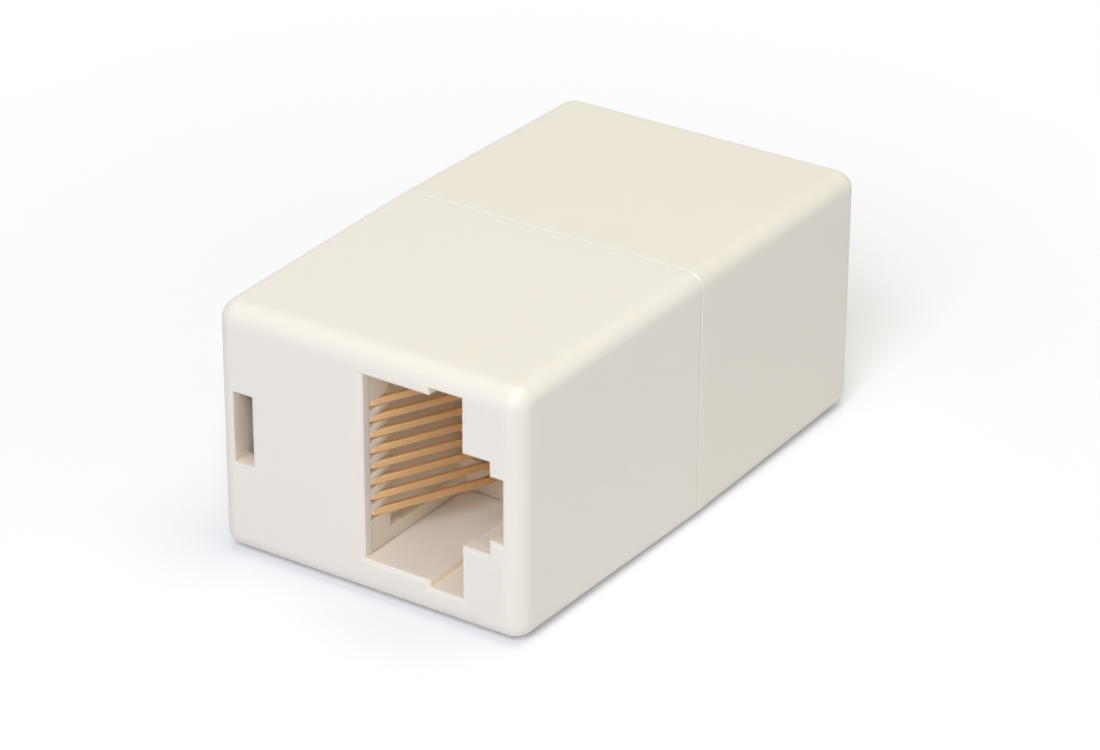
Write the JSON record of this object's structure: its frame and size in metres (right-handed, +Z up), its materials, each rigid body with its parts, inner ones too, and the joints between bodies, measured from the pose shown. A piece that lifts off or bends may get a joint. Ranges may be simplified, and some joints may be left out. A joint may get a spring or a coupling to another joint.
{
  "type": "modular plug inline coupler",
  "caption": "Inline coupler that joins two modular network plugs: a drafted box of two snapped half shells with a stepped jack in each end and sprung contact wires.",
  "frame": {"origin": "centre of the underside of the coupler, on the plane that it rests on", "axes": "+Y runs along the length from the front end face to the rear end face, +X runs across the end faces, +Z is up. Seen from the front, the front jack is on the +X side and the rear jack on the -X side."},
  "size_m": [0.0218, 0.0372, 0.0164],
  "materials": {
    "housing_plastic": "fine satin moulded ivory",
    "carrier_plastic": "satin moulded ivory, slightly darker",
    "contact_metal": "thin gold over formed spring wire"
  },
  "bodies": {
    "root": {"front_shell": "housing_plastic", "rear_shell": "housing_plastic", "front_carrier": "carrier_plastic", "rear_carrier": "carrier_plastic", "contact_wire_1": "contact_metal", "contact_wire_2": "contact_metal", "contact_wire_3": "contact_metal", "contact_wire_4": "contact_metal", "contact_wire_5": "contact_metal", "contact_wire_6": "contact_metal", "contact_wire_7": "contact_metal", "contact_wire_8": "contact_metal"}
  },
  "joints": []
}
